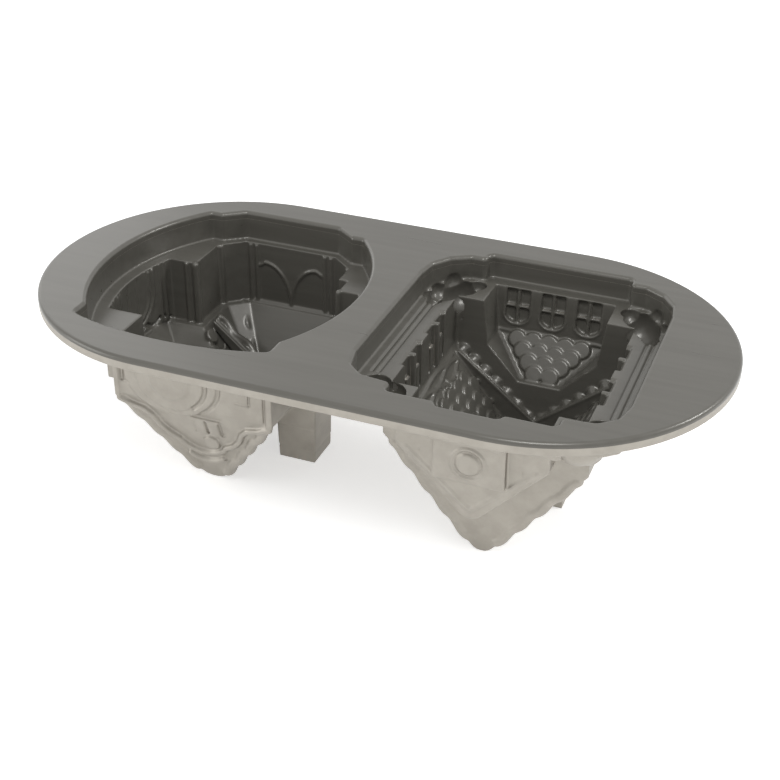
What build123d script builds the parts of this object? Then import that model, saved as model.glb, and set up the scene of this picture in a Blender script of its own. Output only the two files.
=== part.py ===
"""Gingerbread house pan: one aluminium casting with two house moulds under a flat plate.

Millimetres, +Z up. The table is z = 0 and the origin lies under the middle of the plate,
whose long side runs along X. The pan stands as it is filled: plate on top, roofs down,
resting on its two roof ridges and two chimneys. Each mould is the space between a house
form and the same form grown outwards by the wall, and that shell is cut into its regions.
"""
import os
from math import asin, atan2, copysign, cos, hypot, radians, sin, tan

from build123d import *

# Overall sizes of the pan.
PAN_LENGTH = 380.0
PAN_WIDTH = 203.0
PAN_HEIGHT = 107.0

# The flat plate, its rounded edges, and the lip that hangs from its rim.
PLATE_THICKNESS = 4.5
EDGE_ROUND = 2.2
LIP_WIDTH = 5.0
LIP_DEPTH = 2.5
LIP_ROUND = 1.0

# The cast wall of both moulds and the rounding of their plan corners.
WALL = 3.5
PLAN_ROUND = 3.0

# Where each house has its middle line, and how far wall blocks run up into the skirt.
MANOR_X = -86.5
COTTAGE_X = 78.0
SKIRT_OVERLAP = 4.0

# Cottage: depths are below the rim, widths are halves about the middle line.
COTTAGE_LEDGE = 14.0
COTTAGE_HALF_WIDTH = 50.0
COTTAGE_HALF_LENGTH = 50.0
COTTAGE_EAVES = 42.0
COTTAGE_RIDGE_ROUND = 4.0
COTTAGE_LEAN = radians(5.0)
PORCH_HALF_WIDTH = 35.5
PORCH_FRONT_Y = -71.5
PORCH_EAVES = 30.0
PORCH_RIDGE = 66.5
PORCH_LEAN = radians(5.0)
PANEL_HALF_WIDTH = 15.0
PANEL_FRONT_Y = -74.5
PANEL_DEPTH = 42.0
BAY_HALF_WIDTH = 35.0
BAY_BACK_Y = 72.8
BAY_EAVES = 41.0
BAY_DRAFT = 3.8
BAY_ROOF_DEPTH = 60.0
BAY_ROOF_HALF_WIDTH = 12.0
BAY_ROOF_BACK_Y = 53.0
COTTAGE_CHIMNEY_PLACE = (23.2, 12.2)
COTTAGE_CHIMNEY_SIZE = (12.0, 16.0)
COTTAGE_CHIMNEY_TOP = 55.0
CHIMNEY_DRAFT = 1.5

# Snow-covered bushes at the cottage corners: half x, y, depth of centre, radius.
BACK_BUSHES = ((51.0, 60.0, 20.0, 11.0), (58.0, 49.0, 18.0, 9.0))
FRONT_BUSHES = ((49.0, -60.0, 17.0, 10.0), (57.0, -54.0, 16.0, 8.0))

# Manor: depths are below the rim, widths are halves about the middle line.
# The manor's own middle stands to the right of its mouth's: its bigger bay is on the left.
MANOR_LEDGE = 17.5
MANOR_SHIFT = 4.5
MANOR_HALF_WIDTH = 43.5
MANOR_FRONT_Y = -55.0
MANOR_BACK_Y = 50.0
MANOR_EAVES = 50.0
MANOR_RIDGE_ROUND = 8.0
MANOR_LEAN = radians(19.0)
MANOR_BAY_EAVES = 57.0
SIDE_BAY_ROOF_DEPTH = 70.0
WING_ROOF_DEPTH = 84.0
MANOR_CHIMNEY_PLACE = (40.0, 5.0)
MANOR_CHIMNEY_SIZE = (22.5, 22.5)
MANOR_CHIMNEY_TOP = 50.0

# Right halves of the two mouth outlines and of the manor's back wing, from back to front,
# and the points of the round bay on each of its sides.
COTTAGE_MOUTH = (
    (41, 80), (41, 73), (50, 73), (60, 67), (67, 57), (69, 45),
    (69, -50), (66, -63), (58, -70), (42, -72), (42, -80), (17, -80), (15, -84),
)
MANOR_MOUTH_BACK = ((30, 80), (42, 71), (49, 71))
MANOR_MOUTH_SIDE = (73.5, 2)
MANOR_MOUTH_FRONT = ((55.5, -57), (55.5, -68))
MANOR_MOUTH_MIDDLE = (0, -77)
MANOR_WING_PLAN = ((29, 76), (42.5, 64.5), (42.5, 30))
BAY_PLAN_BACK = (60, 37)
BAY_PLAN_SIDE = (66, 3.5)
BAY_PLAN_FRONT = (60, -30)
WING_ROOF_FRONT_Y = 30.0
MANOR_WING_EAVES = ((38, 64), (27, 73))
MANOR_WING_TOP = ((18, 49), (12.5, 53.5))
SIDE_BAY_EAVES = (-63, -20, -27, 33)
SIDE_BAY_TOP = (-50, -20, -14, 20)

UNDERSIDE_Z = PAN_HEIGHT - PLATE_THICKNESS


def level(depth):
    """Height of a plane that lies at a depth below the rim."""
    return PAN_HEIGHT - depth


def moved_out(point, grow):
    """A point of a right half outline, moved outwards by the wall."""
    x, y = point
    return (x + (grow if x else 0), y + copysign(grow, y))


def both_halves(right_half):
    """A right half outline followed by its mirror image."""
    return list(right_half) + [(-x, y) for x, y in reversed(right_half)]


def rectangle(limits, grow):
    """Corners of an upright rectangle given as x, x, y, y."""
    x0, x1, y0, y1 = limits
    return [
        (x0 - grow, y0 - grow), (x1 + grow, y0 - grow),
        (x1 + grow, y1 + grow), (x0 - grow, y1 + grow),
    ]


def prism(outline, low_z, high_z):
    """A block with upright walls over a plan outline."""
    with BuildPart() as block:
        with BuildSketch(Plane.XY.offset(low_z)):
            add(outline)
        extrude(amount=high_z - low_z)
    return block.part


def polygon(corners):
    """A flat face with straight sides."""
    with BuildSketch() as face:
        with BuildLine():
            Polyline(*corners, close=True)
        make_face()
    return face.sketch


def frustum(high_corners, high_z, low_corners, low_z):
    """A block that tapers from one outline to another with as many corners."""
    with BuildPart() as block:
        with BuildSketch(Plane.XY.offset(high_z)):
            add(polygon(high_corners))
        with BuildSketch(Plane.XY.offset(low_z)):
            add(polygon(low_corners))
        loft(ruled=True)
    return block.part


def gable(half_width, eaves, ridge_z, tip_radius, front_y, back_y, top_z, lean, grow):
    """A ridged block: upright walls to the eaves, then two slopes to a rounded ridge.

    Below the eaves its two ends lean in, so that what is moulded in it comes out.
    """
    eaves_z = level(eaves)
    centre_z = ridge_z + tip_radius
    reach = hypot(half_width, eaves_z - centre_z)
    slope = atan2(eaves_z - centre_z, half_width) + asin(tip_radius / reach)
    apex_z = eaves_z - half_width * tan(slope) - grow / cos(slope)
    edge_x = half_width + grow
    edge_z = apex_z + edge_x * tan(slope)
    ends = ((front_y - grow, -1), (back_y + grow, 1))
    end_plane = Plane(origin=(0, back_y + grow, 0), x_dir=(1, 0, 0), z_dir=(0, -1, 0))
    with BuildPart() as block:
        with BuildSketch(end_plane) as end:
            with BuildLine():
                Polyline(
                    (edge_x, top_z), (edge_x, edge_z), (0, apex_z),
                    (-edge_x, edge_z), (-edge_x, top_z), close=True,
                )
            make_face()
            fillet(end.vertices().sort_by(Axis.Y)[0], tip_radius + grow)
        extrude(amount=back_y - front_y + 2 * grow)
        for end_y, side in ends:
            leaning = Plane(
                origin=(0, end_y, edge_z), x_dir=(1, 0, 0), z_dir=(0, side * cos(lean), -sin(lean))
            )
            split(bisect_by=leaning, keep=Keep.BOTTOM)
    return block.part


def chimney(place, foot_size, top_depth, grow):
    """A tapered chimney whose outside has the foot size on the table."""
    x, y = place
    inset = WALL - grow
    half_x = foot_size[0] / 2 - inset
    half_y = foot_size[1] / 2 - inset
    foot = (x - half_x, x + half_x, y - half_y, y + half_y)
    return frustum(
        rectangle(foot, CHIMNEY_DRAFT), level(top_depth), rectangle(foot, 0), WALL - grow
    )


def cottage_mouth(grow):
    """Plan outline of the cottage mould at the plate."""
    right_half = [moved_out(point, grow) for point in COTTAGE_MOUTH]
    with BuildSketch() as mouth:
        with BuildLine():
            Polyline(*both_halves(right_half), close=True)
        make_face()
        fillet(mouth.vertices(), PLAN_ROUND)
    return mouth.sketch


def manor_mouth(grow):
    """Plan outline of the manor mould at the plate, with its bowed sides and front."""
    back = [moved_out(point, grow) for point in MANOR_MOUTH_BACK]
    front = [moved_out(point, grow) for point in MANOR_MOUTH_FRONT]
    side_x = MANOR_MOUTH_SIDE[0] + grow
    side_y = MANOR_MOUTH_SIDE[1]
    with BuildSketch() as mouth:
        with BuildLine():
            for hand in (1, -1):
                Polyline(*[(hand * x, y) for x, y in back])
                ThreePointArc(
                    (hand * back[-1][0], back[-1][1]),
                    (hand * side_x, side_y),
                    (hand * front[0][0], front[0][1]),
                )
                Polyline(*[(hand * x, y) for x, y in front])
            Line(back[0], (-back[0][0], back[0][1]))
            ThreePointArc(
                front[-1], moved_out(MANOR_MOUTH_MIDDLE, grow), (-front[-1][0], front[-1][1])
            )
        make_face()
        fillet(mouth.vertices(), PLAN_ROUND)
    return mouth.sketch


def manor_bay_plan(hand, grow):
    """Plan outline of a round bay and of the floor that joins it to the manor's middle."""
    back_x, back_y = moved_out(BAY_PLAN_BACK, grow)
    front_x, front_y = moved_out(BAY_PLAN_FRONT, grow)
    back = (hand * back_x, back_y)
    side = (hand * (BAY_PLAN_SIDE[0] + grow), BAY_PLAN_SIDE[1])
    front = (hand * front_x, front_y)
    with BuildSketch() as bay:
        with BuildLine():
            ThreePointArc(back, side, front)
            Polyline(front, (0, front_y), (0, back_y), back)
        make_face()
    return bay.sketch


def manor_wing_plan(grow):
    """Plan outline of the wing at the manor's back."""
    return polygon(both_halves([moved_out(point, grow) for point in MANOR_WING_PLAN]))


def wing_roof_corners(back_corners, grow):
    """A level outline of the wing's roof, from its front corner to its back ones and round."""
    side_x = back_corners[0][0]
    right_half = [(side_x + grow, WING_ROOF_FRONT_Y - grow)]
    right_half += [(x + grow, y + grow) for x, y in back_corners]
    return both_halves(right_half)


def cottage_form(grow):
    """The cottage as a solid, grown outwards: 0 is the inside of the mould."""
    wall_top = level(COTTAGE_LEDGE) + SKIRT_OVERLAP
    bay_low_half = BAY_HALF_WIDTH - BAY_DRAFT
    bay_low_back = BAY_BACK_Y - BAY_DRAFT
    bay_high = (-BAY_HALF_WIDTH, BAY_HALF_WIDTH, 0, BAY_BACK_Y)
    bay_low = (-bay_low_half, bay_low_half, 0, bay_low_back)
    bay_roof = (-BAY_ROOF_HALF_WIDTH, BAY_ROOF_HALF_WIDTH, 0, BAY_ROOF_BACK_Y)
    panel = (-PANEL_HALF_WIDTH, PANEL_HALF_WIDTH, PANEL_FRONT_Y, 0)
    with BuildPart() as form:
        add(prism(cottage_mouth(grow), level(COTTAGE_LEDGE) - grow, PAN_HEIGHT))
        add(gable(
            COTTAGE_HALF_WIDTH, COTTAGE_EAVES, WALL, COTTAGE_RIDGE_ROUND,
            -COTTAGE_HALF_LENGTH, COTTAGE_HALF_LENGTH, wall_top, COTTAGE_LEAN, grow,
        ))
        add(gable(
            PORCH_HALF_WIDTH, PORCH_EAVES, level(PORCH_RIDGE), COTTAGE_RIDGE_ROUND,
            PORCH_FRONT_Y, 0, wall_top, PORCH_LEAN, grow,
        ))
        add(prism(
            polygon(rectangle(panel, grow)), level(PANEL_DEPTH) - grow, wall_top,
        ))
        add(frustum(rectangle(bay_high, grow), wall_top, rectangle(bay_low, grow), level(BAY_EAVES)))
        add(frustum(
            rectangle(bay_low, grow), level(BAY_EAVES),
            rectangle(bay_roof, grow), level(BAY_ROOF_DEPTH) - grow,
        ))
        add(chimney(COTTAGE_CHIMNEY_PLACE, COTTAGE_CHIMNEY_SIZE, COTTAGE_CHIMNEY_TOP, grow))
        for x, y, depth, radius in BACK_BUSHES + FRONT_BUSHES:
            with Locations((x, y, level(depth)), (-x, y, level(depth))):
                Sphere(radius + grow)
    return form.part


def manor_form(grow):
    """The manor as a solid, grown outwards: 0 is the inside of the mould."""
    wall_top = level(MANOR_LEDGE) + SKIRT_OVERLAP
    bay_floor = level(MANOR_BAY_EAVES) - grow
    with BuildPart() as form:
        add(prism(manor_mouth(grow), level(MANOR_LEDGE) - grow, PAN_HEIGHT))
        with Locations((MANOR_SHIFT, 0, 0)):
            add(gable(
                MANOR_HALF_WIDTH, MANOR_EAVES, WALL, MANOR_RIDGE_ROUND,
                MANOR_FRONT_Y, MANOR_BACK_Y, wall_top, MANOR_LEAN, grow,
            ))
        add(prism(manor_bay_plan(-1, grow), bay_floor, wall_top))
        add(prism(manor_bay_plan(1, grow), level(MANOR_EAVES) - grow, wall_top))
        add(prism(manor_wing_plan(grow), bay_floor, wall_top))
        add(frustum(
            wing_roof_corners(MANOR_WING_EAVES, grow), level(MANOR_BAY_EAVES),
            wing_roof_corners(MANOR_WING_TOP, grow), level(WING_ROOF_DEPTH) - grow,
        ))
        add(frustum(
            rectangle(SIDE_BAY_EAVES, grow), level(MANOR_BAY_EAVES),
            rectangle(SIDE_BAY_TOP, grow), level(SIDE_BAY_ROOF_DEPTH) - grow,
        ))
        add(chimney(MANOR_CHIMNEY_PLACE, MANOR_CHIMNEY_SIZE, MANOR_CHIMNEY_TOP, grow))
    return form.part


def shell(form):
    """The cast wall around a house form."""
    with BuildPart() as wall:
        add(form(WALL))
        add(form(0), mode=Mode.SUBTRACT)
    return wall.part


def region(wall, corners, low_z, high_z):
    """What a mould wall has over a plan outline between two heights."""
    with BuildPart() as piece:
        add(wall)
        add(prism(polygon(corners), low_z, high_z), mode=Mode.INTERSECT)
    return piece.part


# The plate with the two mouths cut through it and every top edge rounded.
with BuildPart() as rim_plate:
    with BuildSketch(Plane.XY.offset(UNDERSIDE_Z)):
        SlotOverall(PAN_LENGTH, PAN_WIDTH)
        with Locations((MANOR_X, 0)):
            add(manor_mouth(0), mode=Mode.SUBTRACT)
        with Locations((COTTAGE_X, 0)):
            add(cottage_mouth(0), mode=Mode.SUBTRACT)
    extrude(amount=PLATE_THICKNESS)
    fillet(rim_plate.faces().sort_by(Axis.Z)[-1].edges(), EDGE_ROUND)

# The lip under the rim of the plate.
with BuildPart() as rim_lip:
    with BuildSketch(Plane.XY.offset(UNDERSIDE_Z - LIP_DEPTH)):
        SlotOverall(PAN_LENGTH, PAN_WIDTH)
        SlotOverall(PAN_LENGTH - 2 * LIP_WIDTH, PAN_WIDTH - 2 * LIP_WIDTH, mode=Mode.SUBTRACT)
    extrude(amount=LIP_DEPTH)
    fillet(rim_lip.faces().sort_by(Axis.Z)[0].edges(), LIP_ROUND)

# Both mould walls, each about its own middle line, and the planes that divide them.
cottage_wall = shell(cottage_form)
manor_wall = shell(manor_form)
FAR = PAN_WIDTH
COTTAGE_SKIRT_Z = level(COTTAGE_LEDGE) - WALL
COTTAGE_SIDE = COTTAGE_HALF_WIDTH + WALL
COTTAGE_END = COTTAGE_HALF_LENGTH + WALL
BAY_SIDE = BAY_HALF_WIDTH + WALL
MANOR_SKIRT_Z = level(MANOR_LEDGE) - WALL
MANOR_EAVES_Z = level(MANOR_EAVES) - WALL
MANOR_LEFT = MANOR_SHIFT - MANOR_HALF_WIDTH - WALL
MANOR_RIGHT = MANOR_SHIFT + MANOR_HALF_WIDTH + WALL
MANOR_END = MANOR_BACK_Y + WALL
everywhere = rectangle((-FAR, FAR, -FAR, FAR), 0)
cottage_middle = rectangle((-COTTAGE_SIDE, COTTAGE_SIDE, -COTTAGE_END, COTTAGE_END), 0)
manor_middle = rectangle((MANOR_LEFT, MANOR_RIGHT, -FAR, MANOR_END), 0)

with BuildPart() as cottage_skirt:
    with Locations((COTTAGE_X, 0, 0)):
        add(region(cottage_wall, everywhere, COTTAGE_SKIRT_Z, UNDERSIDE_Z))

with BuildPart() as cottage_walls:
    with Locations((COTTAGE_X, 0, 0)):
        add(region(cottage_wall, cottage_middle, level(COTTAGE_EAVES), COTTAGE_SKIRT_Z))

with BuildPart() as cottage_back_bay:
    bay_area = rectangle((-BAY_SIDE, BAY_SIDE, COTTAGE_END, FAR), 0)
    with Locations((COTTAGE_X, 0, 0)):
        add(region(cottage_wall, bay_area, 0, COTTAGE_SKIRT_Z))

with BuildPart() as cottage_front_porch:
    porch_area = rectangle((-BAY_SIDE, BAY_SIDE, -FAR, -COTTAGE_END), 0)
    with Locations((COTTAGE_X, 0, 0)):
        add(region(cottage_wall, porch_area, 0, COTTAGE_SKIRT_Z))

with BuildPart() as cottage_chimney:
    with Locations((COTTAGE_X, 0, 0)):
        add(cottage_wall)
        add(
            chimney(COTTAGE_CHIMNEY_PLACE, COTTAGE_CHIMNEY_SIZE, COTTAGE_CHIMNEY_TOP, WALL),
            mode=Mode.INTERSECT,
        )

with BuildPart() as cottage_roof:
    with Locations((COTTAGE_X, 0, 0)):
        add(region(cottage_wall, cottage_middle, 0, level(COTTAGE_EAVES)))
        add(
            chimney(COTTAGE_CHIMNEY_PLACE, COTTAGE_CHIMNEY_SIZE, COTTAGE_CHIMNEY_TOP, WALL),
            mode=Mode.SUBTRACT,
        )

# The four bush corners, outside the cottage's middle block and beside its bay and porch.
bushes = {}
for end, end_name in ((1, "back"), (-1, "front")):
    for hand, hand_name in ((1, "right"), (-1, "left")):
        corner_area = [
            (hand * BAY_SIDE, end * COTTAGE_END), (hand * BAY_SIDE, end * FAR),
            (hand * FAR, end * FAR), (hand * FAR, 0),
            (hand * COTTAGE_SIDE, 0), (hand * COTTAGE_SIDE, end * COTTAGE_END),
        ]
        with BuildPart() as bush:
            with Locations((COTTAGE_X, 0, 0)):
                add(region(cottage_wall, corner_area, 0, COTTAGE_SKIRT_Z))
        bushes[f"cottage_bush_{end_name}_{hand_name}"] = bush

with BuildPart() as manor_skirt:
    with Locations((MANOR_X, 0, 0)):
        add(region(manor_wall, everywhere, MANOR_SKIRT_Z, UNDERSIDE_Z))

with BuildPart() as manor_walls:
    with Locations((MANOR_X, 0, 0)):
        add(region(manor_wall, manor_middle, MANOR_EAVES_Z, MANOR_SKIRT_Z))
        add(
            chimney(MANOR_CHIMNEY_PLACE, MANOR_CHIMNEY_SIZE, MANOR_CHIMNEY_TOP, WALL),
            mode=Mode.SUBTRACT,
        )

with BuildPart() as manor_back_wing:
    wing_area = rectangle((-FAR, FAR, MANOR_END, FAR), 0)
    with Locations((MANOR_X, 0, 0)):
        add(region(manor_wall, wing_area, 0, MANOR_SKIRT_Z))

with BuildPart() as manor_bay_left:
    left_area = rectangle((-FAR, MANOR_LEFT, -FAR, MANOR_END), 0)
    with Locations((MANOR_X, 0, 0)):
        add(region(manor_wall, left_area, 0, MANOR_SKIRT_Z))

with BuildPart() as manor_bay_right:
    right_area = rectangle((MANOR_RIGHT, FAR, -FAR, MANOR_END), 0)
    with Locations((MANOR_X, 0, 0)):
        add(region(manor_wall, right_area, 0, MANOR_SKIRT_Z))
        add(
            chimney(MANOR_CHIMNEY_PLACE, MANOR_CHIMNEY_SIZE, MANOR_CHIMNEY_TOP, WALL),
            mode=Mode.SUBTRACT,
        )

with BuildPart() as manor_chimney:
    with Locations((MANOR_X, 0, 0)):
        add(manor_wall)
        add(
            chimney(MANOR_CHIMNEY_PLACE, MANOR_CHIMNEY_SIZE, MANOR_CHIMNEY_TOP, WALL),
            mode=Mode.INTERSECT,
        )

with BuildPart() as manor_roof:
    with Locations((MANOR_X, 0, 0)):
        add(region(manor_wall, manor_middle, 0, MANOR_EAVES_Z))
        add(
            chimney(MANOR_CHIMNEY_PLACE, MANOR_CHIMNEY_SIZE, MANOR_CHIMNEY_TOP, WALL),
            mode=Mode.SUBTRACT,
        )

# Every region as its own file, named as its node.
pieces = {
    "rim_plate": rim_plate,
    "rim_lip": rim_lip,
    "cottage_skirt": cottage_skirt,
    "cottage_walls": cottage_walls,
    "cottage_back_bay": cottage_back_bay,
    "cottage_front_porch": cottage_front_porch,
    "cottage_roof": cottage_roof,
    "cottage_chimney": cottage_chimney,
    "manor_skirt": manor_skirt,
    "manor_walls": manor_walls,
    "manor_back_wing": manor_back_wing,
    "manor_bay_left": manor_bay_left,
    "manor_bay_right": manor_bay_right,
    "manor_roof": manor_roof,
    "manor_chimney": manor_chimney,
    **bushes,
}
os.makedirs("parts", exist_ok=True)
for name, piece in pieces.items():
    piece.part.label = name
    export_step(piece.part, f"parts/{name}.step")
    print(name, len(piece.part.solids()), round(piece.part.volume), piece.part.bounding_box())
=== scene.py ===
"""Looks of the gingerbread house pan: a cast aluminium plate with two house moulds under it.

The plate and its lip are the CAD solids with a finish. Each mould is its CAD regions joined,
given the baker's relief and remeshed into one skin, coated inside and bare outside.
"""
import math

import bmesh
import bpy
from mathutils import Matrix, Vector
from mathutils.bvhtree import BVHTree


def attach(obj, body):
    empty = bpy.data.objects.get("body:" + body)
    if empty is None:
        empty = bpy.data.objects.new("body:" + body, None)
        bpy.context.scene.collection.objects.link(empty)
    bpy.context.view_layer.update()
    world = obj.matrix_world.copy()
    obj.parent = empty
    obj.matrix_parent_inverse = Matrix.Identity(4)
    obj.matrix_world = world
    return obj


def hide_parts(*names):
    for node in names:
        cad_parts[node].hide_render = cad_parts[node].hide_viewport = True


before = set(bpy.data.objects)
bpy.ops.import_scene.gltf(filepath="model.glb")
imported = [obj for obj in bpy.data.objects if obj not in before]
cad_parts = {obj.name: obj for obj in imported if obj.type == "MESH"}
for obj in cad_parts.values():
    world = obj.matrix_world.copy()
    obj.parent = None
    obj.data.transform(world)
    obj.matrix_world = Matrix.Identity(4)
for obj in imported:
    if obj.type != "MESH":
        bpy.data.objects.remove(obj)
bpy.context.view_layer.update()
MM = 0.001


# Camera, white paper sweep and studio lamps.
# The camera stands to the right of the pan's front and looks down on it. The pan is on white
# paper under a large soft lamp, with smaller ones that draw highlights on the rounded edges.
CAMERA_PLACE = Vector((238.6, -597.7, 442.8)) * MM
CAMERA_RIGHT = Vector((0.930705, 0.365652, 0.009338))
CAMERA_UP = Vector((-0.196707, 0.478833, 0.855585))
CAMERA_LENS = 63.41
SENSOR_WIDTH = 36.0
PAPER_SIZE = 6.0
PAPER_WHITE = "f4f4f4"
PAPER_GLOW = 0.6
WORLD_GREY = "dcdcdc"
WORLD_STRENGTH = 0.75
BACKGROUND_WHITE = "ffffff"
NEAREST_SEEN = 0.01
FARTHEST_SEEN = 50.0


def linear(hex_colour):
    """An sRGB hex colour as linear red, green, blue and alpha."""
    values = [int(hex_colour[i:i + 2], 16) / 255 for i in (0, 2, 4)]
    return [v / 12.92 if v <= 0.04045 else ((v + 0.055) / 1.055) ** 2.4 for v in values] + [1.0]


def add_node(tree, kind, settings=None, inputs=None):
    """A shader node with its settings, its input values and the sockets linked to its inputs."""
    node = tree.nodes.new(kind)
    for name, value in (settings or {}).items():
        setattr(node, name, value)
    for name, value in (inputs or {}).items():
        if isinstance(value, bpy.types.NodeSocket):
            tree.links.new(value, node.inputs[name])
        else:
            node.inputs[name].default_value = value
    return node


def seen_directly(tree):
    """1 for camera, glossy and transmission rays, 0 for the rays that light a surface."""
    path = add_node(tree, "ShaderNodeLightPath")
    either = add_node(tree, "ShaderNodeMath", {"operation": "MAXIMUM"}, {
        0: path.outputs["Is Camera Ray"], 1: path.outputs["Is Glossy Ray"]})
    return add_node(tree, "ShaderNodeMath", {"operation": "MAXIMUM"}, {
        0: either.outputs[0], 1: path.outputs["Is Transmission Ray"]}).outputs[0]


camera_data = bpy.data.cameras.new("photo_camera")
camera_data.lens = CAMERA_LENS
camera_data.sensor_width = SENSOR_WIDTH
camera_data.clip_start = NEAREST_SEEN
camera_data.clip_end = FARTHEST_SEEN
camera = bpy.data.objects.new("photo_camera", camera_data)
bpy.context.scene.collection.objects.link(camera)
back = CAMERA_RIGHT.cross(CAMERA_UP)
camera.matrix_world = Matrix.Translation(CAMERA_PLACE) @ Matrix(
    (CAMERA_RIGHT, CAMERA_UP, back)).transposed().to_4x4()
bpy.context.scene.camera = camera
bpy.context.scene.view_settings.view_transform = "Standard"

world = bpy.data.worlds.new("studio")
bpy.context.scene.world = world
world.use_nodes = True
tree = world.node_tree
tree.nodes.clear()
dim = add_node(tree, "ShaderNodeBackground", None, {
    "Color": linear(WORLD_GREY), "Strength": WORLD_STRENGTH})
white = add_node(tree, "ShaderNodeBackground", None, {
    "Color": linear(BACKGROUND_WHITE), "Strength": 1.0})
mixed = add_node(tree, "ShaderNodeMixShader", None, {
    0: seen_directly(tree), 1: dim.outputs[0], 2: white.outputs[0]})
add_node(tree, "ShaderNodeOutputWorld", None, {"Surface": mixed.outputs[0]})

bm = bmesh.new()
bmesh.ops.create_grid(bm, x_segments=1, y_segments=1, size=PAPER_SIZE / 2)
paper_mesh = bpy.data.meshes.new("paper")
bm.to_mesh(paper_mesh)
bm.free()
paper = bpy.data.objects.new("paper", paper_mesh)
bpy.context.scene.collection.objects.link(paper)
paper_finish = bpy.data.materials.new("matt white paper")
paper_finish.use_nodes = True
tree = paper_finish.node_tree
tree.nodes.clear()
matt = add_node(tree, "ShaderNodeBsdfDiffuse", None, {"Color": linear(PAPER_WHITE)})
glow = add_node(tree, "ShaderNodeEmission", None, {
    "Color": linear(PAPER_WHITE), "Strength": PAPER_GLOW})
both = add_node(tree, "ShaderNodeAddShader", None, {0: matt.outputs[0], 1: glow.outputs[0]})
paper_look = add_node(tree, "ShaderNodeMixShader", None, {
    0: seen_directly(tree), 1: matt.outputs[0], 2: both.outputs[0]})
add_node(tree, "ShaderNodeOutputMaterial", None, {"Surface": paper_look.outputs[0]})
paper_mesh.materials.append(paper_finish)

# Each lamp: name, place, the point it aims at, width and power in watts.
for name, place, aim, width, power in (
    ("top_softbox", (0.3, -0.7, 1.35), (0, 0, 0), 0.5, 9.0),
    ("left_softbox", (-1.6, 1.2, 1.0), (0, 0, 0.05), 1.4, 5.0),
    ("front_softbox", (-1.4, -0.8, 0.45), (0, 0, 0.05), 0.8, 6.0),
    ("right_strip", (1.1, 0.5, 0.9), (-0.05, 0, 0.08), 0.3, 6.0),
):
    lamp_data = bpy.data.lights.new(name, "AREA")
    lamp_data.shape = "SQUARE"
    lamp_data.size = width
    lamp_data.energy = power
    lamp = bpy.data.objects.new(name, lamp_data)
    bpy.context.scene.collection.objects.link(lamp)
    lamp.location = place
    lamp.rotation_euler = (Vector(aim) - Vector(place)).to_track_quat("-Z", "Y").to_euler()


# Rim plate and lip: the flat stadium plate of the casting.
# Sand-smooth aluminium casting. Its top is sprayed with a baked dark non-stick coating that
# ends in a crisp line just below the rounded edge; the side and the underside are bare metal.
COATING_DARK = "5b5953"
COATING_LIGHT = "605e58"
BARE_DARK = "9d988f"
BARE_LIGHT = "a7a299"
COATING_STREAK = 5.0
COATING_STRETCH = 14.0
COATING_GRAIN = 0.9
COATING_GRAIN_HEIGHT = 0.004
COATING_ROUGHNESS = (0.26, 0.31)
COATING_METALLIC = 0.15
BLAST_PATCH = 9.0
BLAST_GRAIN = 0.7
BLAST_GRAIN_HEIGHT = 0.03
BARE_ROUGHNESS = (0.40, 0.50)
BARE_METALLIC = 0.6
COATED_EDGE_Z = 104.4
RIM_HALF_STRAIGHT = 88.5
RIM_SIDE_RADIUS = 100.2
PLATE_UNDERSIDE_Z = 102.6


def fine_bump(tree, coordinates, grain_mm, height_mm):
    """Normals for a grain of that width and height, on the piece's own coordinates."""
    grain = add_node(tree, "ShaderNodeTexNoise", None, {
        "Vector": coordinates, "Scale": 1 / (grain_mm * MM), "Detail": 3.0, "Roughness": 0.6})
    return add_node(tree, "ShaderNodeBump", None, {
        "Strength": 1.0, "Distance": height_mm * MM, "Height": grain.outputs[0]}).outputs[0]


def blotches(tree, coordinates, size_mm, stretch, dark, light):
    """A colour that drifts between two tones in patches of that size, stretched along X."""
    turned = add_node(tree, "ShaderNodeMapping", None, {
        "Vector": coordinates, "Scale": (1 / stretch, 1.0, 1.0)})
    patch = add_node(tree, "ShaderNodeTexNoise", None, {
        "Vector": turned.outputs[0], "Scale": 1 / (size_mm * MM), "Detail": 4.0, "Roughness": 0.55})
    tone = add_node(tree, "ShaderNodeValToRGB", None, {"Fac": patch.outputs[0]})
    tone.color_ramp.elements[0].position = 0.35
    tone.color_ramp.elements[0].color = linear(dark)
    tone.color_ramp.elements[1].position = 0.65
    tone.color_ramp.elements[1].color = linear(light)
    return tone.outputs[0], patch.outputs[0]


def coated_shader(tree, coordinates):
    """Baked non-stick coating: dark, smooth and slightly metallic, with an even satin gloss."""
    colour, patch = blotches(
        tree, coordinates, COATING_STREAK, COATING_STRETCH, COATING_DARK, COATING_LIGHT)
    gloss = add_node(tree, "ShaderNodeMapRange", None, {
        "Value": patch, "To Min": COATING_ROUGHNESS[0], "To Max": COATING_ROUGHNESS[1]})
    return add_node(tree, "ShaderNodeBsdfPrincipled", None, {
        "Base Color": colour, "Metallic": COATING_METALLIC, "Roughness": gloss.outputs[0],
        "Normal": fine_bump(tree, coordinates, COATING_GRAIN, COATING_GRAIN_HEIGHT)}).outputs[0]


def bare_shader(tree, coordinates):
    """Bare cast aluminium, shot-blasted to a pale satin grain."""
    colour, patch = blotches(tree, coordinates, BLAST_PATCH, 1.0, BARE_DARK, BARE_LIGHT)
    gloss = add_node(tree, "ShaderNodeMapRange", None, {
        "Value": patch, "To Min": BARE_ROUGHNESS[0], "To Max": BARE_ROUGHNESS[1]})
    return add_node(tree, "ShaderNodeBsdfPrincipled", None, {
        "Base Color": colour, "Metallic": BARE_METALLIC, "Roughness": gloss.outputs[0],
        "Normal": fine_bump(tree, coordinates, BLAST_GRAIN, BLAST_GRAIN_HEIGHT)}).outputs[0]


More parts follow.
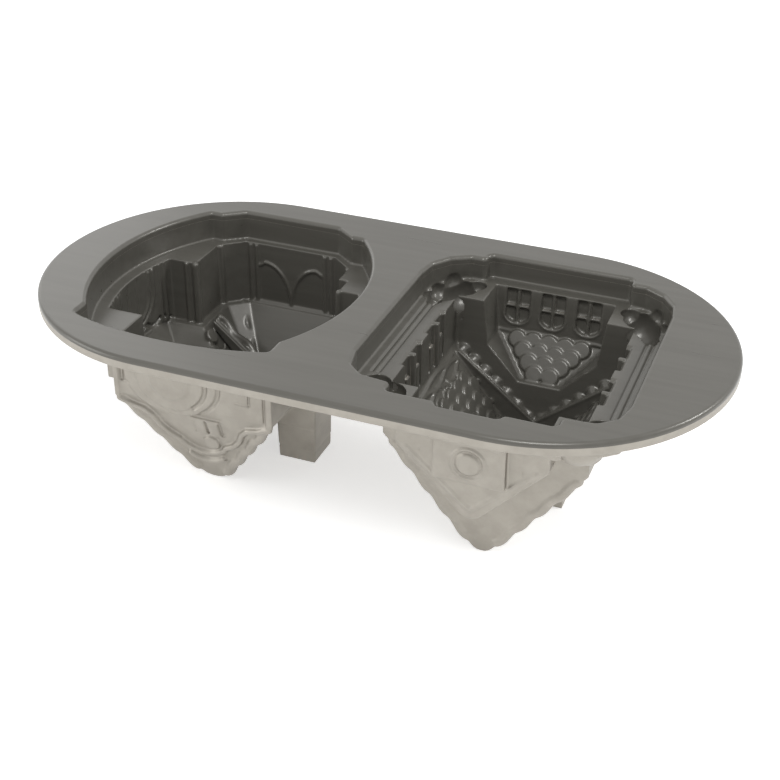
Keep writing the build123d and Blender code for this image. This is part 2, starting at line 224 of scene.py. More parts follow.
def new_finish(name):
    """An empty material and its piece's own coordinates."""
    finish = bpy.data.materials.new(name)
    finish.use_nodes = True
    finish.node_tree.nodes.clear()
    place = add_node(finish.node_tree, "ShaderNodeTexCoord")
    return finish, finish.node_tree, place.outputs["Object"]


coating, tree, place = new_finish("baked non-stick coating")
add_node(tree, "ShaderNodeOutputMaterial", None, {"Surface": coated_shader(tree, place)})
bare_metal, tree, place = new_finish("shot-blasted cast aluminium")
add_node(tree, "ShaderNodeOutputMaterial", None, {"Surface": bare_shader(tree, place)})

# The plate carries both finishes, divided by height on its outer side and at its underside.
plate_finish, tree, place = new_finish("coated plate with bare side")
axes = add_node(tree, "ShaderNodeSeparateXYZ", None, {"Vector": place})
along = add_node(tree, "ShaderNodeMath", {"operation": "ABSOLUTE"}, {0: axes.outputs["X"]})
past = add_node(tree, "ShaderNodeMath", {"operation": "SUBTRACT"}, {
    0: along.outputs[0], 1: RIM_HALF_STRAIGHT * MM})
past = add_node(tree, "ShaderNodeMath", {"operation": "MAXIMUM"}, {0: past.outputs[0], 1: 0.0})
radial = add_node(tree, "ShaderNodeCombineXYZ", None, {
    "X": past.outputs[0], "Y": axes.outputs["Y"]})
from_middle = add_node(tree, "ShaderNodeVectorMath", {"operation": "LENGTH"}, {
    0: radial.outputs[0]})
outer = add_node(tree, "ShaderNodeMath", {"operation": "GREATER_THAN"}, {
    0: from_middle.outputs["Value"], 1: RIM_SIDE_RADIUS * MM})
low = add_node(tree, "ShaderNodeMath", {"operation": "LESS_THAN"}, {
    0: axes.outputs["Z"], 1: COATED_EDGE_Z * MM})
side = add_node(tree, "ShaderNodeMath", {"operation": "MULTIPLY"}, {
    0: outer.outputs[0], 1: low.outputs[0]})
under = add_node(tree, "ShaderNodeMath", {"operation": "LESS_THAN"}, {
    0: axes.outputs["Z"], 1: PLATE_UNDERSIDE_Z * MM})
is_bare = add_node(tree, "ShaderNodeMath", {"operation": "MAXIMUM"}, {
    0: side.outputs[0], 1: under.outputs[0]})
divided = add_node(tree, "ShaderNodeMixShader", None, {
    0: is_bare.outputs[0], 1: coated_shader(tree, place), 2: bare_shader(tree, place)})
add_node(tree, "ShaderNodeOutputMaterial", None, {"Surface": divided.outputs[0]})


def dress(node, finish):
    """A CAD node keeps its shape and gets its finish."""
    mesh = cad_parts[node].data
    mesh.materials.clear()
    mesh.materials.append(finish)


dress("rim_plate", plate_finish)
dress("rim_lip", bare_metal)


# Cottage mould: the right-hand mould, cast in one with the plate.
# Aluminium 3.5 mm thick, coated inside and shot-blasted bare outside, with the baker's relief
# in its walls. Its regions are joined and remeshed, as the melted metal rounds every edge.
WALL = 3.5
RIM_Z = 107.0
COTTAGE_X = 78.0
PLATE_BOTTOM_Z = 102.5
SPARE_TOP = 2.0
RELIEF_GRID = 0.45
CASTING_GRID = 0.62
HOLLOW_GRID = 0.8
MELT_PASSES = 3
SHARP_ANGLE = math.radians(60)
MOST_TRIANGLES = 190000
SURE_DISTANCE = 0.8
FACING = 0.3
COTTAGE_LEDGE = 14.0
COTTAGE_HALF = 50.0
COTTAGE_EAVES = 42.0
COTTAGE_RIDGE_ROUND = 4.0
BAY_BACK_Y = 72.8
BAY_EAVES = 41.0
BAY_EAVES_Y = 69.0
BAY_WINDOWS = (-21.0, -0.5, 20.0)
BAY_WINDOW_HALF = 6.8
BAY_WINDOW_SPRING = 16.0
WINDOW_CUT = (-2.0, 2.3)
SIDE_WINDOWS = (-19.0, 17.0)
LEDGE_LINES = (63.2, 59.6)
PANEL_EDGE = 13.2
PANEL_WINDOW_DOWN = 19.5
PORCH_GROOVE = 26.0
BACK_BUSH_LUMPS = (
    (44, 66, 16, 6.0), (56, 64, 14, 6.5), (62, 56, 17, 6.0), (64, 46, 15, 5.0), (47, 57, 28, 7.0),
    (57, 55, 25, 6.5), (60, 40, 16, 4.5),
)
FRONT_BUSH_LUMPS = ((56, -64, 15, 5.0), (62, -56, 15, 5.5), (46, -66, 16, 5.0), (52, -56, 25, 6.0))
BUSH_METAL = 2.6


def depth(value):
    """Height of a point that lies that far below the rim."""
    return RIM_Z - value


def wall_frame(origin, across, down):
    """Axes on a wall: across it, down it towards the ridge, and out through the metal."""
    across = Vector(across).normalized()
    down = Vector(down).normalized()
    out = across.cross(down)
    turn = Matrix((across, down, out)).transposed().to_4x4()
    return Matrix.Translation(Vector(origin)) @ turn


def block(bm, axes, a, b, w):
    """A box between two values on each of a wall's axes."""
    middle = Vector(((a[0] + a[1]) / 2, (b[0] + b[1]) / 2, (w[0] + w[1]) / 2))
    size = Matrix.Diagonal((a[1] - a[0], b[1] - b[0], w[1] - w[0], 1.0))
    bmesh.ops.create_cube(bm, size=1.0, matrix=axes @ Matrix.Translation(middle) @ size)


def disc(bm, axes, a, b, w, radius, tilt=0.0, oval=1.0):
    """A round plate between two depths in the wall, tilted about the line across it."""
    middle = Matrix.Translation((a, b, (w[0] + w[1]) / 2))
    turn = Matrix.Rotation(tilt, 4, "X")
    bmesh.ops.create_cone(
        bm, cap_ends=True, segments=28, radius1=radius, radius2=radius, depth=w[1] - w[0],
        matrix=axes @ middle @ turn @ Matrix.Diagonal((1.0, oval, 1.0, 1.0)))


def ball(bm, axes, a, b, w, radius, flat=1.0):
    """A ball, or a flattened one, at a point of the wall."""
    bmesh.ops.create_icosphere(
        bm, subdivisions=2, radius=radius,
        matrix=axes @ Matrix.Translation((a, b, w)) @ Matrix.Diagonal((1.0, 1.0, flat, 1.0)))


def rope(bm, axes, points, radius):
    """A round cord of icing through points given on the wall's axes."""
    path = [axes @ Vector(point) for point in points]
    for start, end in zip(path, path[1:]):
        line = end - start
        turn = line.to_track_quat("Z", "Y").to_matrix().to_4x4()
        bmesh.ops.create_cone(
            bm, cap_ends=True, segments=12, radius1=radius, radius2=radius, depth=line.length,
            matrix=Matrix.Translation((start + end) / 2) @ turn)
    for point in path:
        bmesh.ops.create_icosphere(
            bm, subdivisions=2, radius=radius, matrix=Matrix.Translation(point))


def beads(bm, axes, start, end, pitch, radius):
    """A row of icing beads from one point to another."""
    start = Vector(start)
    line = Vector(end) - start
    count = max(2, round(line.length / pitch))
    for i in range(count + 1):
        point = start + line * (i / count)
        ball(bm, axes, *point, radius)


def arc(centre, radius, first, last, w=0.0, rise=1.0):
    """Points of an arc on a wall, with angles in degrees from across towards down."""
    steps = max(4, round(abs(last - first) / 12))
    points = []
    for i in range(steps + 1):
        angle = math.radians(first + (last - first) * i / steps)
        points.append((
            centre[0] + radius * math.cos(angle), centre[1] + rise * radius * math.sin(angle), w))
    return points


def shingles(bm, axes, first_b, last_b, half_width, radius, pitch, lift, out=0.0):
    """Rows of round-ended shingles whose tips point to the eaves.

    half_width gives how far each row reaches on both sides at its distance down the slope.
    """
    row_step = radius * 1.25
    rows = int((last_b - first_b) / row_step) + 1
    for row in range(rows):
        b = first_b + row * row_step
        reach = half_width(b) - radius * 0.6
        count = int(2 * reach / pitch)
        if row % 2 != count % 2:
            count -= 1
        for i in range(count + 1):
            a = (i - count / 2) * pitch
            disc(
                bm, axes, a, b, (out + lift / 2 - 3.0, out + lift / 2), radius,
                math.asin(lift / (2 * radius)))


def linked(name, mesh):
    """A new object in the scene."""
    piece = bpy.data.objects.new(name, mesh)
    bpy.context.scene.collection.objects.link(piece)
    return piece


def apply_modifiers(piece):
    """Puts what the modifiers make into the mesh."""
    depsgraph = bpy.context.evaluated_depsgraph_get()
    mesh = bpy.data.meshes.new_from_object(piece.evaluated_get(depsgraph))
    piece.modifiers.clear()
    old = piece.data
    piece.data = mesh
    bpy.data.meshes.remove(old)


def voxels(piece, grid):
    """One closed skin of even small faces round everything in the mesh."""
    remesh = piece.modifiers.new("grid", "REMESH")
    remesh.mode = "VOXEL"
    remesh.voxel_size = grid
    apply_modifiers(piece)


def combine(piece, tool, operation):
    """Joins a tool to a piece or cuts it away, and removes the tool."""
    boolean = piece.modifiers.new("combine", "BOOLEAN")
    boolean.operation = operation
    boolean.solver = "MANIFOLD"
    boolean.object = tool
    apply_modifiers(piece)
    bpy.data.objects.remove(tool)


def connected(faces):
    """The faces in groups that hang together by their edges, the largest first."""
    left = set(faces)
    groups = []
    while left:
        queue = [left.pop()]
        group = []
        while queue:
            face = queue.pop()
            group.append(face)
            for edge in face.edges:
                for other in edge.link_faces:
                    if other in left:
                        left.discard(other)
                        queue.append(other)
        groups.append(group)
    groups.sort(key=len, reverse=True)
    return groups


def casting(name, nodes, middle_x):
    """The regions of a mould as one mesh in millimetres about the house's middle line."""
    piece = None
    for node in nodes:
        bm = bmesh.new()
        bm.from_mesh(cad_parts[node].data)
        bmesh.ops.remove_doubles(bm, verts=bm.verts, dist=0.002 * MM)
        bmesh.ops.scale(bm, vec=(1 / MM,) * 3, verts=bm.verts)
        bmesh.ops.translate(bm, vec=(-middle_x, 0, 0), verts=bm.verts)
        for vert in bm.verts:
            if vert.co.z > PLATE_BOTTOM_Z - 0.01:
                vert.co.z += SPARE_TOP
        mesh = bpy.data.meshes.new(node + "_copy")
        bm.to_mesh(mesh)
        bm.free()
        mesh.materials.clear()
        part = linked(node + "_copy", mesh)
        if piece is None:
            piece = part
        else:
            combine(piece, part, "UNION")
    piece.name = name
    return piece


def cavity(piece):
    """The hollow of a mould as a closed block: the inner skin of its casting, filled at the top."""
    hollow = linked(piece.name + "_hollow", piece.data.copy())
    voxels(hollow, HOLLOW_GRID)
    bm = bmesh.new()
    bm.from_mesh(hollow.data)
    bmesh.ops.bisect_plane(
        bm, geom=bm.verts[:] + bm.edges[:] + bm.faces[:],
        plane_co=(0, 0, PLATE_BOTTOM_Z + SPARE_TOP / 2), plane_no=(0, 0, 1), clear_outer=True)
    inner = max(
        connected(bm.faces)[:2],
        key=lambda skin: min(vert.co.z for face in skin for vert in face.verts))
    keep = set(inner)
    bmesh.ops.delete(
        bm, geom=[face for face in bm.faces if face not in keep], context="FACES")
    bmesh.ops.triangle_fill(
        bm, use_beauty=False, edges=[edge for edge in bm.edges if edge.is_boundary],
        normal=(0, 0, 1))
    bmesh.ops.triangulate(bm, faces=bm.faces)
    bmesh.ops.recalc_face_normals(bm, faces=bm.faces)
    bm.to_mesh(hollow.data)
    bm.free()
    return hollow


def relief(name, bm):
    """All the shapes of a bmesh as one closed skin."""
    mesh = bpy.data.meshes.new(name)
    bm.to_mesh(mesh)
    bm.free()
    piece = linked(name, mesh)
    voxels(piece, RELIEF_GRID)
    return piece


def is_coated(face, hollow, cuts):
    """True for a face in a cut, in the mould's hollow, on its wall, or turned towards it."""
    middle = face.calc_center_median()
    if cuts.find_nearest(middle)[3] < SURE_DISTANCE:
        return True
    nearest, normal, index, distance = hollow.find_nearest(middle)
    gap = nearest - middle
    if distance < SURE_DISTANCE or gap.dot(normal) > 0:
        return True
    return distance < WALL and gap.normalized().dot(face.normal) > FACING


def finish_casting(piece, middle_x, hollow, cuts):
    """Rounds the casting, cuts it level under the plate and coats its inside."""
    voxels(piece, CASTING_GRID)
    smooth = piece.modifiers.new("melt", "SMOOTH")
    smooth.factor = 0.5
    smooth.iterations = MELT_PASSES
    apply_modifiers(piece)
    bm = bmesh.new()
    bm.from_mesh(piece.data)
    bmesh.ops.bisect_plane(
        bm, geom=bm.verts[:] + bm.edges[:] + bm.faces[:], plane_co=(0, 0, PLATE_BOTTOM_Z),
        plane_no=(0, 0, 1), clear_outer=True)
    bmesh.ops.triangle_fill(
        bm, use_beauty=False, edges=[edge for edge in bm.edges if edge.is_boundary],
        normal=(0, 0, 1))
    bmesh.ops.triangulate(bm, faces=[face for face in bm.faces if len(face.verts) > 4])
    bm.to_mesh(piece.data)
    bm.free()
    triangles = sum(len(face.vertices) - 2 for face in piece.data.polygons)
    thin = piece.modifiers.new("thin", "DECIMATE")
    thin.ratio = min(1.0, MOST_TRIANGLES / triangles)
    apply_modifiers(piece)
    bm = bmesh.new()
    bm.from_mesh(piece.data)
    for island in connected(bm.faces)[1:]:
        bmesh.ops.delete(bm, geom=island, context="FACES")
    bm.normal_update()
    for face in bm.faces:
        face.material_index = 0 if is_coated(face, hollow, cuts) else 1
        face.smooth = True
    bmesh.ops.translate(bm, vec=(middle_x, 0, 0), verts=bm.verts)
    bmesh.ops.scale(bm, vec=(MM,) * 3, verts=bm.verts)
    piece.data.materials.clear()
    piece.data.materials.append(coating)
    piece.data.materials.append(bare_metal)
    bm.to_mesh(piece.data)
    bm.free()
    piece.data.set_sharp_from_angle(angle=SHARP_ANGLE)


def house_slope(half_width, eaves_z, ridge_z, tip_radius):
    """Angle of a roof slope that runs from the eaves to a rounded ridge."""
    centre_z = ridge_z + tip_radius
    reach = math.hypot(half_width, eaves_z - centre_z)
    return math.atan2(eaves_z - centre_z, half_width) + math.asin(tip_radius / reach)


def mould(name, nodes, middle_x, outside, grooves, cut, raised):
    """A mould with its relief: raised and grooved outside, cut and raised inside."""
    piece = casting(name, nodes, middle_x)
    hollow = cavity(piece)
    hollow_faces = BVHTree.FromPolygons(
        [vert.co.copy() for vert in hollow.data.vertices],
        [tuple(face.vertices) for face in hollow.data.polygons])
    cut_faces = BVHTree.FromBMesh(cut)
    bumps = relief(name + "_outside", outside)
    combine(bumps, hollow, "DIFFERENCE")
    combine(piece, bumps, "UNION")
    combine(piece, relief(name + "_grooves", grooves), "DIFFERENCE")
    combine(piece, relief(name + "_cut", cut), "DIFFERENCE")
    combine(piece, relief(name + "_raised", raised), "UNION")
    finish_casting(piece, middle_x, hollow_faces, cut_faces)
    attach(piece, "root")
    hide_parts(*nodes)


outside = bmesh.new()
grooves = bmesh.new()
cut = bmesh.new()
raised = bmesh.new()
upright = Vector((0, 0, -1))
centred = Matrix.Identity(4)
cottage_nodes = [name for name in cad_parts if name.startswith("cottage_")]

# Three arched windows in the back bay, each with a bar and a transom.
bay_wall = wall_frame((0, BAY_BACK_Y, depth(COTTAGE_LEDGE)), (1, 0, 0), (0, -3.8, -27))
for middle in BAY_WINDOWS:
    left, right = middle - BAY_WINDOW_HALF, middle + BAY_WINDOW_HALF
    block(cut, bay_wall, (left, right), (1.0, BAY_WINDOW_SPRING), WINDOW_CUT)
    disc(cut, bay_wall, middle, BAY_WINDOW_SPRING, WINDOW_CUT, BAY_WINDOW_HALF, oval=0.75)
    block(raised, bay_wall, (middle - 0.9, middle + 0.9), (0.5, 21.5), (0.0, 3.0))
    block(raised, bay_wall, (middle - 6.9, middle + 6.9), (10.6, 12.0), (0.3, 3.0))
    rope(raised, bay_wall, arc((middle, BAY_WINDOW_SPRING), 7.6, 5, 175, 0.0, 0.8), 0.9)
    for edge in (-8.0, 8.0):
        rope(raised, bay_wall, [
            (middle + edge, 0.5, 0.1), (middle + edge, BAY_WINDOW_SPRING, 0.1)], 0.8)
icing = [(a, 26.0 + 0.5 * math.sin(a * 0.2), 0.0) for a in range(-31, 32, 2)]
rope(raised, bay_wall, icing, 0.9)

# Hipped bay roof with round-ended shingles and beaded hips.
bay_roof = wall_frame((0, BAY_EAVES_Y, depth(BAY_EAVES)), (1, 0, 0), (0, -16, -19))
shingles(raised, bay_roof, 3.0, 22.5, lambda b: 30.5 - 0.78 * b, 5.0, 9.4, 1.6)
for hand in (1, -1):
    top = (hand * 31.2, BAY_EAVES_Y, depth(BAY_EAVES))
    foot = (hand * 12.2, 53.2, depth(60))
    rope(raised, centred, [top, foot], 0.9)
    beads(raised, centred, top, foot, 4.4, 1.25)

# Step behind the main roof: a V of icing across the end gable, with two lines and beads.
for hand in (1, -1):
    corners = [
        (x, y, z) for y in (43.0, 49.0)
        for x, z in ((hand * 49.6, 64.0), (0.0, 25.0), (0.0, 2.0), (hand * 49.6, 61.0))]
    verts = [bmesh.ops.create_vert(raised, co=corner)["vert"][0] for corner in corners]
    bmesh.ops.convex_hull(raised, input=verts)
    for y in (43.4, 46.2):
        rope(raised, centred, [(hand * 46.0, y, 61.8), (0.0, y, 25.6)], 0.9)
    beads(raised, centred, (hand * 45.0, 50.0, 60.2), (hand * 4.0, 49.0, 27.2), 8.6, 4.4)

# Side walls with two tall windows each, on both sides of the hall.
for hand in (1, -1):
    side_wall = wall_frame(
        (hand * COTTAGE_HALF, 0, depth(COTTAGE_LEDGE)), (0, -hand, 0), upright)
    for middle in SIDE_WINDOWS:
        centre = -hand * middle
        block(cut, side_wall, (centre - 12.0, centre + 12.0), (2.0, 26.5), WINDOW_CUT)
        block(raised, side_wall, (centre - 1.6, centre + 1.6), (0.5, 27.0), (-1.2, 2.6))
        for edge in (-7.0, 7.0):
            block(
                raised, side_wall, (centre + edge - 2.4, centre + edge + 2.4), (11.0, 26.5),
                (-0.2, 2.6))
        block(cut, side_wall, (centre - 13.5, centre + 13.5), (-3.5, 1.0), (-2.0, 3.4))
    for line_x in LEDGE_LINES:
        rope(cut, centred, [
            (hand * line_x, -44, depth(COTTAGE_LEDGE)),
            (hand * line_x, 42, depth(COTTAGE_LEDGE))], 0.9)

# Main roof: wavy snow at the eaves, then shingles down to the ridge.
slope = house_slope(COTTAGE_HALF, depth(COTTAGE_EAVES), WALL, COTTAGE_RIDGE_ROUND)
for hand in (1, -1):
    roof = wall_frame(
        (hand * COTTAGE_HALF, 0, depth(COTTAGE_EAVES)), (0, -hand, 0),
        (-hand * math.cos(slope), 0, -math.sin(slope)))
    shingles(raised, roof, 18.0, 70.0, lambda b: 41.0, 5.6, 10.4, 1.8)
    for row, reach in ((3.0, 0.6), (6.5, 1.4), (10.5, 2.2)):
        drift = [(a, row + reach * math.sin(a * 0.16 + row), 0.0) for a in range(-46, 42, 2)]
        rope(raised, roof, drift, 1.1)
    for offset in (-4.0, 0.0, 4.0):
        rope(raised, roof, [
            (-hand * 14.0 + offset, 10.0, 0.2), (-hand * 14.0 + offset, 34.0, 0.2)], 1.3)

# Bush corners: lumps of snow on the ledge.
for hand in (1, -1):
    for x, y, down, radius in BACK_BUSH_LUMPS + FRONT_BUSH_LUMPS:
        ball(cut, centred, hand * x, y, depth(down), radius)
        ball(outside, centred, hand * x, y, depth(down), radius + BUSH_METAL)

# Porch front: a square panel with a ringed round window, beaded gable edges, outside.
outer_front = wall_frame((0, -75.0, depth(COTTAGE_LEDGE)), (-1, 0, 0), upright)
panel_front = wall_frame((0, -78.0, depth(COTTAGE_LEDGE)), (-1, 0, 0), upright)
rope(outside, panel_front, arc((0, PANEL_WINDOW_DOWN), 8.4, 0, 360), 1.0)
disc(outside, panel_front, 0, PANEL_WINDOW_DOWN, (-1.0, 1.2), 6.0)
for a in (-PANEL_EDGE, PANEL_EDGE):
    block(grooves, panel_front, (a - 0.4, a + 0.4), (2.0, 27.0), (-0.7, 2.0))
block(grooves, panel_front, (-PANEL_EDGE, PANEL_EDGE), (26.2, 27.0), (-0.7, 2.0))
for a in (-PORCH_GROOVE, PORCH_GROOVE):
    block(grooves, outer_front, (a - 0.5, a + 0.5), (2.0, 22.0), (-1.1, 2.0))
for hand in (1, -1):
    rope(outside, centred, [
        (hand * 33.0, -74.2, depth(33.0)), (0.0, -71.6, depth(64.5))], 1.6)
    for end in (-1, 1):
        wave = [
            (hand * (48.0 - 1.67 * t), end * (51.0 - 0.17 * t),
             59.1 - 2.13 * t + math.sin(t * 1.05)) for t in range(25)]
        rope(outside, centred, wave, 3.2)
    side_out = wall_frame(
        (hand * (COTTAGE_HALF + WALL), 0, depth(COTTAGE_LEDGE)), (0, -hand, 0), upright)
    for middle in SIDE_WINDOWS:
        block(
            outside, side_out, (-hand * middle - 13.0, -hand * middle + 13.0), (3.0, 27.0),
            (-1.0, 1.4))

mould("cottage_mould", cottage_nodes, COTTAGE_X, outside, grooves, cut, raised)


# Manor mould: the left-hand mould, larger, with a round bay and a big square chimney.
# The same casting and finish as the cottage: a bay on each side, draped windows at the back,
# sweets on the roof, and a front with nested arches that shows on the bare outside.
MANOR_X = -86.5
MANOR_SHIFT = 4.5
MANOR_LEAN = math.tan(math.radians(19.0))
MANOR_LEDGE = 17.5
MANOR_HALF = 43.5
MANOR_EAVES = 50.0
MANOR_RIDGE_ROUND = 8.0
MANOR_FRONT_Y = -58.5
MANOR_EAVES_Z = 53.5
MANOR_FLOOR = 56.0
WING_BACK_Y = 76.0
DRAPE_WIDTH = 17.0
DRAPE_TOP = 12.0
WING_SILL = 39.0
BAY_SIDE_X = 66.0
BAY_MIDDLE_Y = 3.5
MANOR_BOW = 6.0
MANOR_BOW_HALF = 33.5
SWEET_RADIUS = 4.4
ARCH_X = 8.0
ARCH_SPRING = 18.5
GREAT_ARCHES = ((28.0, 0.5, 0.78), (20.5, 1.0, 0.9))
BRICK_STEP = 7.5
CHIMNEY_X = 40.0
CHIMNEY_Y = 5.0
CHIMNEY_HALF = 11.25
JOINT = 0.5

outside = bmesh.new()
grooves = bmesh.new()
cut = bmesh.new()
raised = bmesh.new()
manor_nodes = [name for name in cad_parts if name.startswith("manor_")]


def on_bow(points, out):
    """Lays points of a flat frame on the bowed wall of the bay."""
    return [(a, b, out - MANOR_BOW * (a / MANOR_BOW_HALF) ** 2) for a, b, w in points]


# Back wing: two draped curtains between columns, over a sill line.
wing_wall = wall_frame((0, WING_BACK_Y, depth(MANOR_LEDGE)), (1, 0, 0), upright)
for hand in (1, -1):
    drape = [
        (hand * DRAPE_WIDTH * (1.0 - math.sin(t)), 38.0 - 26.0 * math.cos(t), 0.0)
        for t in (math.radians(step * 9) for step in range(11))]
    rope(raised, wing_wall, drape, 1.2)
    rope(raised, wing_wall, [
        (hand * DRAPE_WIDTH, DRAPE_TOP, 0.0), (hand * 20.5, 14.5, 0.0)], 1.1)
    for a in (22.5, 26.5):
        rope(raised, wing_wall, [(hand * a, 2.0, 0.0), (hand * a, WING_SILL, 0.0)], 1.3)
rope(raised, wing_wall, [(-27, WING_SILL, 0), (27, WING_SILL, 0)], 1.3)

# Columns where the walls meet, each from under the ledge to the floor.
for x, y, foot, radius in (
    (41.3, 65.8, MANOR_FLOOR, 1.6), (-41.3, 65.8, MANOR_FLOOR, 1.6),
    (-43.2, 37.4, MANOR_FLOOR, 2.2), (-49.0, 36.8, MANOR_FLOOR, 1.3),
    (48.2, 37.2, MANOR_EAVES - 1, 2.0),
):
    rope(raised, centred, [(x, y, depth(MANOR_LEDGE + 1.5)), (x, y, depth(foot))], radius)
for hand in (1, -1):
    wave = [
        (hand * (31 - 1.1 * i), 72.0 - 1.25 * i + 1.3 * math.sin(i * 0.9), depth(58 + 1.75 * i))
        for i in range(15)]
    rope(raised, centred, wave, 1.8)

# Round side bay: a tall window between double trims, and wavy icing below it.
bay = wall_frame((-BAY_SIDE_X, BAY_MIDDLE_Y, depth(MANOR_LEDGE)), (0, 1, 0), upright)
for radius, size in ((19.0, 1.2), (15.5, 1.0)):
    legs = [(-radius, 2.0, 0.0)] + arc((0, 15.0), radius, 180, 0) + [(radius, 2.0, 0.0)]
    rope(raised, bay, on_bow(legs, 0.0), size)
for a in (-5.0, 5.0):
    rope(cut, bay, on_bow([(a, 2.0, 0), (a, 15.0, 0), (a, 27.0, 0)], 0.0), 0.9)
for a in (25.0, 29.0, -25.0, -29.0):
    rope(raised, bay, on_bow([(a, 1.0, 0), (a, 38.0, 0)], 0.4), 1.2)
icing = [(a, 36.0 + 1.6 * math.sin(a * 0.45), 0.0) for a in range(-31, 32, 2)]
rope(cut, bay, on_bow(icing, 0.4), 1.4)
right_bay = wall_frame((BAY_SIDE_X, BAY_MIDDLE_Y, depth(MANOR_LEDGE)), (0, -1, 0), upright)
legs = [(-15.5, 2.0, 0.0)] + arc((0, 14.0), 15.5, 180, 0) + [(15.5, 2.0, 0.0)]
rope(raised, right_bay, on_bow(legs, 0.0), 1.1)
bay_floor = wall_frame((-37.0, 3.0, depth(70)), (1, 0, 0), (0, -1, 0))
for b in (-11.0, 1.0, 13.0):
    disc(cut, bay_floor, 0.0, b, (-2.0, 1.4), 6.0)
    disc(raised, bay_floor, 0.0, b, (0.0, 2.4), SWEET_RADIUS - 0.4)

# Step behind the main roof: a V of icing lines with a wavy line behind it.
for hand in (1, -1):
    end_x = MANOR_SHIFT + hand * 39.0
    corners = [
        (x, y, z) for y in (39.0, 45.0)
        for x, z in ((end_x, 51.0), (MANOR_SHIFT, 18.0), (MANOR_SHIFT, 2.0), (end_x, 47.0))]
    verts = [bmesh.ops.create_vert(raised, co=corner)["vert"][0] for corner in corners]
    bmesh.ops.convex_hull(raised, input=verts)
    for y in (39.4, 42.2):
        rope(raised, centred, [(end_x, y, 51.2), (MANOR_SHIFT, y, 18.4)], 0.9)
    wave = [
        (MANOR_SHIFT + hand * (38.0 - 1.8 * i), 45.5 + 1.2 * math.sin(i * 0.8), 51.5 - 1.55 * i)
        for i in range(20)]
    rope(raised, centred, wave, 2.2)

# Roof: ringed round sweets and looping icing on both slopes.
slope = house_slope(MANOR_HALF, depth(MANOR_EAVES), WALL, MANOR_RIDGE_ROUND)
for hand in (1, -1):
    roof = wall_frame(
        (MANOR_SHIFT + hand * MANOR_HALF, 0, depth(MANOR_EAVES)), (0, -hand, 0),
        (-hand * math.cos(slope), 0, -math.sin(slope)))
    for row, b in enumerate((13.0, 30.0, 47.0)):
        for column in range(-2, 3):
            a = column * 16.0 + (8.0 if row % 2 else 0.0)
            if abs(a) < 34.0:
                disc(cut, roof, a, b, (-2.0, 1.4), 6.8)
                disc(raised, roof, a, b, (0.0, 2.4), SWEET_RADIUS)
                disc(outside, roof, a, b, (0.6, WALL + 0.9), 6.6)
    for b, swing in ((21.5, 2.6), (38.5, -2.6)):
        loops = [(a, b + swing * math.cos(a * 0.39), 0.0) for a in range(-36, 37, 2)]
        rope(raised, roof, loops, 1.0)

# Front, outside: three nested arches with a deep groove at their right, and small windows.
front_out = wall_frame((0, MANOR_FRONT_Y, depth(MANOR_LEDGE)), (-1, 0, 0), upright)
for radius, rise, oval in ((28.0, 0.7, 0.78), (20.5, 1.3, 0.9), (12.0, 2.0, 1.0)):
    disc(outside, front_out, ARCH_X, ARCH_SPRING, (-1.0, rise), radius, oval=oval)
    block(
        outside, front_out, (ARCH_X - radius, ARCH_X + radius), (0.5, ARCH_SPRING), (-1.0, rise))
for radius, rise, oval in GREAT_ARCHES:
    middle = (ARCH_X, ARCH_SPRING)
    rope(grooves, front_out, arc(middle, radius + 0.6, 128, 184, rise, oval), 1.5)
    rope(grooves, front_out, arc(middle, radius + 0.6, 0, 128, rise, oval), 0.7)
for a in (38.0, -38.0):
    block(grooves, front_out, (a - 0.8, a + 0.8), (8.0, 25.5), (-1.4, 1.0))
block(grooves, front_out, (-38.0, -29.5), (24.3, 25.5), (-1.2, 1.0))
block(grooves, front_out, (30.0, 38.0), (25.2, 26.2), (-0.8, 1.0))
block(grooves, front_out, (-47.2, -45.8), (1.0, 34.0), (-1.3, 1.0))
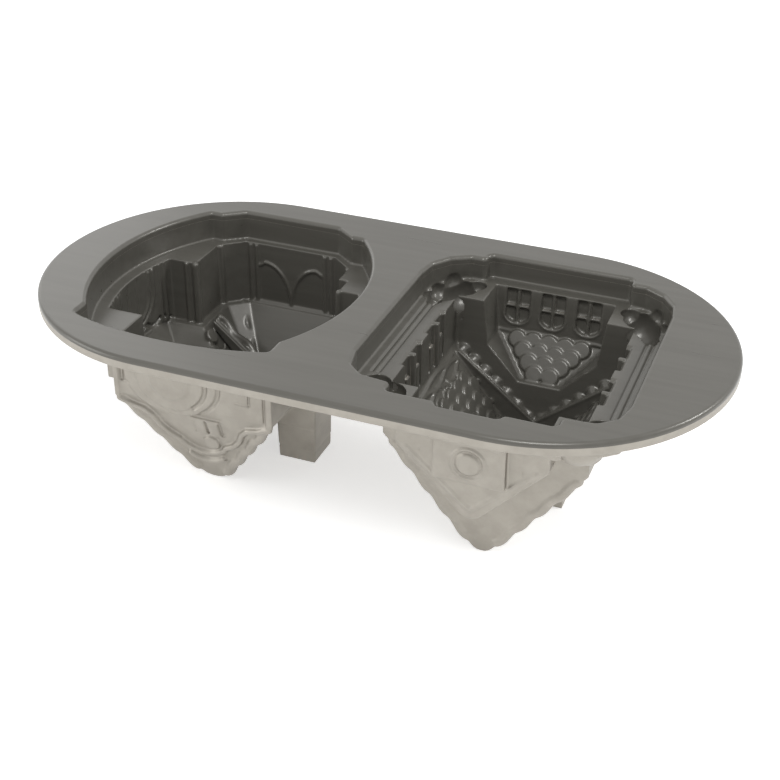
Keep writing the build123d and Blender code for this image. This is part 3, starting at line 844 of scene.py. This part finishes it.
block(outside, front_out, (-51.5, -48.0), (1.0, 35.5), (-1.0, 1.2))
block(outside, front_out, (39.5, 42.5), (1.0, 35.5), (-1.0, 1.2))
gable_front = wall_frame(
    (MANOR_SHIFT, MANOR_FRONT_Y, MANOR_EAVES_Z), (-1, 0, 0), (0, MANOR_LEAN, -1.0))
block(outside, gable_front, (-15.0, 2.5), (4.0, 17.0), (-1.5, 0.9))
for a in (2.0, -6.0, -14.2):
    block(grooves, gable_front, (a - 0.8, a + 0.8), (5.0, 16.0), (-0.9, 3.0))
disc(outside, gable_front, -6.0, 24.0, (-1.0, 1.0), 5.0)
rope(grooves, gable_front, arc((-6.0, 24.0), 5.4, 110, 200, 0.4), 1.0)
rope(outside, gable_front, arc((0.0, 17.0), 17.0, 40, 140, 0.0), 1.7)
rope(outside, gable_front, arc((0.0, 26.0), 15.0, 48, 132, 0.0), 1.6)
for hand in (1, -1):
    rope(outside, gable_front, [
        (hand * a, b, 0.2)
        for a, b in ((45, 1), (38, 4), (31, 6), (27, 10), (24, 17), (20, 22), (14, 26))], 1.7)
    for end in (1, -1):
        wave = []
        for t in range(25):
            d = 42.5 - 1.4 * t
            z = 1.347 * d - 5.2 + 1.1 * math.sin(t * 1.05)
            y = (56.5 if end < 0 else 51.5) - MANOR_LEAN * (MANOR_EAVES_Z - z)
            wave.append((MANOR_SHIFT + hand * d, end * y, z))
        rope(outside, centred, wave, 3.2)

# Chimney: brick joints all round.
for i in range(1, 7):
    z = BRICK_STEP * i
    half = CHIMNEY_HALF + 1.5 * z / 57.0
    all_x = (CHIMNEY_X - half, CHIMNEY_X + half)
    all_y = (CHIMNEY_Y - half, CHIMNEY_Y + half)
    level = (z - 0.45, z + 0.45)
    for side in (-half, half):
        one_x = CHIMNEY_X + side
        one_y = CHIMNEY_Y + side
        block(grooves, centred, (one_x - JOINT, one_x + JOINT), all_y, level)
        block(grooves, centred, all_x, (one_y - JOINT, one_y + JOINT), level)

mould("manor_mould", manor_nodes, MANOR_X, outside, grooves, cut, raised)
